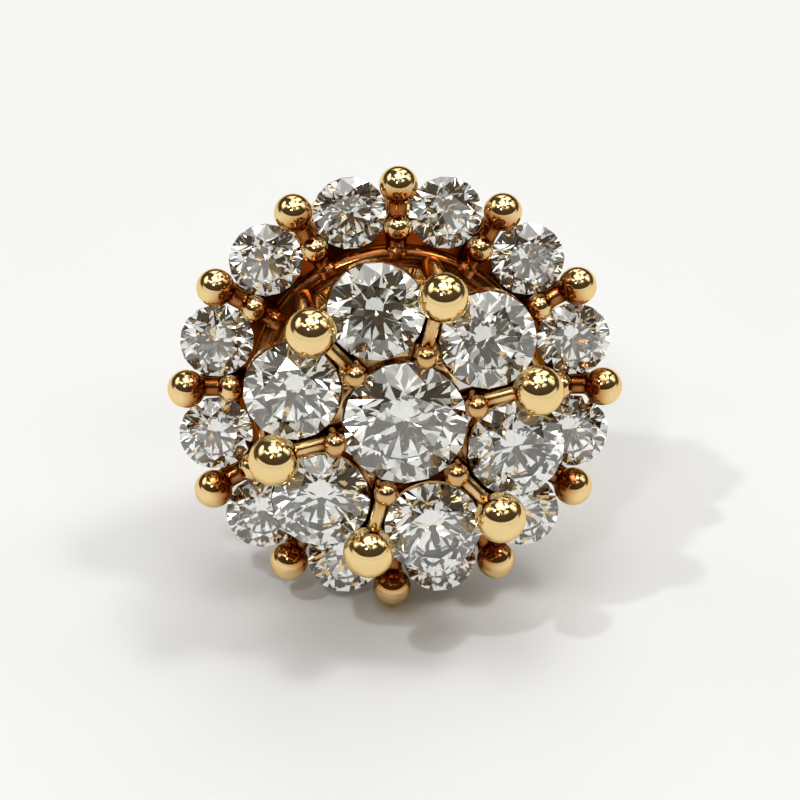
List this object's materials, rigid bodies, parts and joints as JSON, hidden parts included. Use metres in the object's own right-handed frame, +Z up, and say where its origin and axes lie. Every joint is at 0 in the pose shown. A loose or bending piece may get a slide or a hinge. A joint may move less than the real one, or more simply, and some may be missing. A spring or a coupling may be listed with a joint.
{
  "type": "stud_earring",
  "caption": "Round two-tier cluster stud earring in polished yellow gold, small colourless stones in ball prongs, with a straight post and a curled friction nut",
  "frame": {"origin": "centre of the box's footprint, on the surface it rests on", "axes": "the face looks to -Y and a little up, the post runs back to +Y, +Z up, +X to the face's left"},
  "size_m": [0.009, 0.0142, 0.0085],
  "materials": {
    "gold": "polished",
    "diamond": "polished"
  },
  "bodies": {
    "root": {"setting": "gold", "ear_nut": "gold", "centre_stone": "diamond", "flower_stone_1": "diamond", "flower_stone_2": "diamond", "flower_stone_3": "diamond", "flower_stone_4": "diamond", "flower_stone_5": "diamond", "flower_stone_6": "diamond", "halo_stone_1": "diamond", "halo_stone_2": "diamond", "halo_stone_3": "diamond", "halo_stone_4": "diamond", "halo_stone_5": "diamond", "halo_stone_6": "diamond", "halo_stone_7": "diamond", "halo_stone_8": "diamond", "halo_stone_9": "diamond", "halo_stone_10": "diamond", "halo_stone_11": "diamond", "halo_stone_12": "diamond"}
  },
  "joints": []
}
